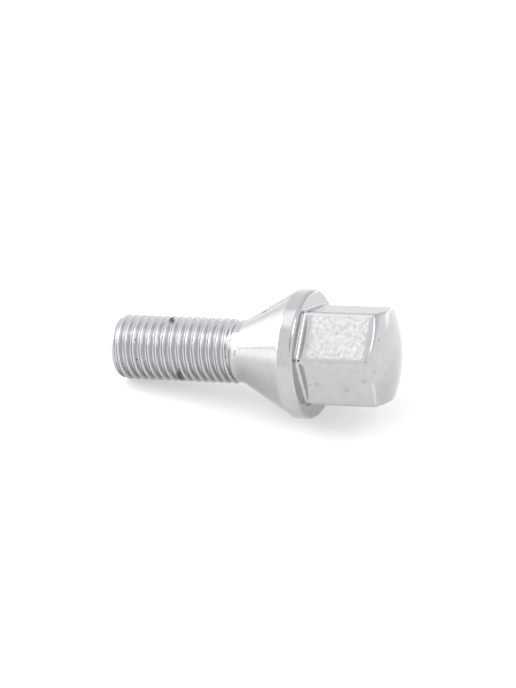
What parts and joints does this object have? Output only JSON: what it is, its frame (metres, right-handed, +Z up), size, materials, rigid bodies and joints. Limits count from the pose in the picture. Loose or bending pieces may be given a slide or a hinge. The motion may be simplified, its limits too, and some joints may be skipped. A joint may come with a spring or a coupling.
{
  "type": "wheel bolt",
  "caption": "Chromed steel wheel bolt in one piece: hexagon head with a domed end, flange with a conical seat, short neck and a metric threaded shank, to hold a car's wheel on its hub.",
  "frame": {"origin": "on the surface that the bolt lies on, under the middle of its bounding box", "axes": "+Z up; +X level, from the threaded tip to the head. The bolt's own axis lies in the XZ plane and rises 9.6 degrees towards the head, because it rests on its rim and on the end of its threaded shank"},
  "size_m": [0.054, 0.0234, 0.0236],
  "materials": {
    "chrome_plating": "bright plating over forged steel, with some orange peel, pits and a little dirt in the thread"
  },
  "bodies": {
    "root": {"wheel_bolt": "chrome_plating"}
  },
  "joints": []
}
